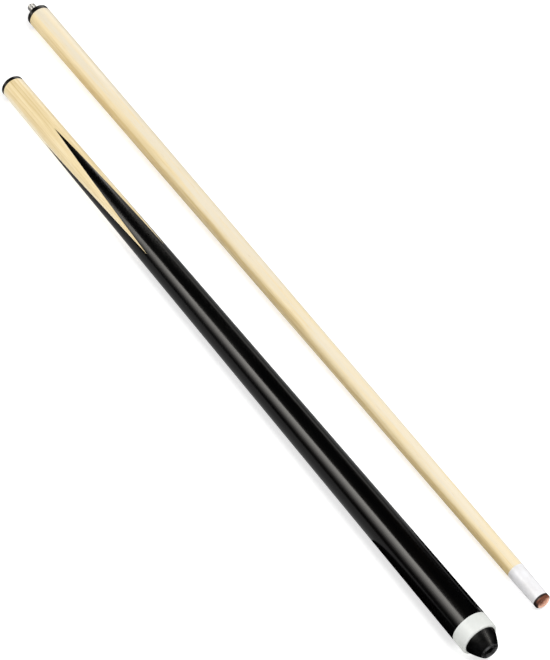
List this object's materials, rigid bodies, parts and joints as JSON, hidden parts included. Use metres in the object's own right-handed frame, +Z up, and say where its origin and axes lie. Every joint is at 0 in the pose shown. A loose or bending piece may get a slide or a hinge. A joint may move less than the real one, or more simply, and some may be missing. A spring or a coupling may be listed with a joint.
{
  "type": "pool cue",
  "caption": "Two-piece pool cue, unscrewed: maple shaft with a threaded joint pin, and a full-spliced black butt with a white cap and rubber bumper.",
  "frame": {"origin": "centre of the base of the whole object's box, on the table that both halves lie on", "axes": "+X along the butt from its joint to its bumper, +Z up"},
  "size_m": [0.7906, 0.0908, 0.03],
  "materials": {
    "black_resin": "gloss black phenolic",
    "brass": "machined brass with an internal thread",
    "maple": "pale straight-grained maple under clear lacquer",
    "black_lacquer": "hardwood under high gloss black lacquer",
    "white_resin": "off-white polished resin",
    "zinc_steel": "bright zinc plated steel",
    "black_rubber": "satin black moulded rubber",
    "pin_steel": "turned and threaded stainless steel",
    "ferrule_resin": "white polished ferrule resin",
    "fibre": "dark vulcanised fibre",
    "tip_leather": "pressed leather, burnished dark round its side"
  },
  "bodies": {
    "butt": {"butt_collar": "black_resin", "joint_insert": "brass", "forearm": "maple", "handle": "black_lacquer", "butt_cap": "white_resin"},
    "weight_bolt": {"weight_bolt": "zinc_steel"},
    "shaft_collar": {"shaft_collar": "black_resin"},
    "shaft": {"shaft": "maple", "joint_pin": "pin_steel", "ferrule": "ferrule_resin", "tip_pad": "fibre", "leather_tip": "tip_leather"},
    "bumper": {"bumper": "black_rubber"}
  },
  "joints": [
    {"name": "shaft_feed", "type": "slide", "parent": "butt", "child": "weight_bolt", "axis": [1, 0, 0], "range_m": [0, 0.014]},
    {"name": "shaft_swing", "type": "hinge", "parent": "weight_bolt", "child": "shaft_collar", "pos_m": [-0.35398, 0.00208, 0.0107], "axis": [0, 0, 1], "range_deg": [0, 180.28]},
    {"name": "shaft_turn", "type": "hinge", "parent": "shaft_collar", "child": "shaft", "pos_m": [-0.38175, 0.0347, 0.0107], "axis": [-1, 0.0049, 0.005], "range_deg": [0, 3571.7]},
    {"name": "bumper_pull", "type": "slide", "parent": "butt", "child": "bumper", "axis": [1, 0, 0.0062], "range_m": [0, 0.02]}
  ],
  "couplings": [
    {"joint": "shaft_turn", "follows": "shaft_feed", "rad_per_m": 4452.7}
  ]
}
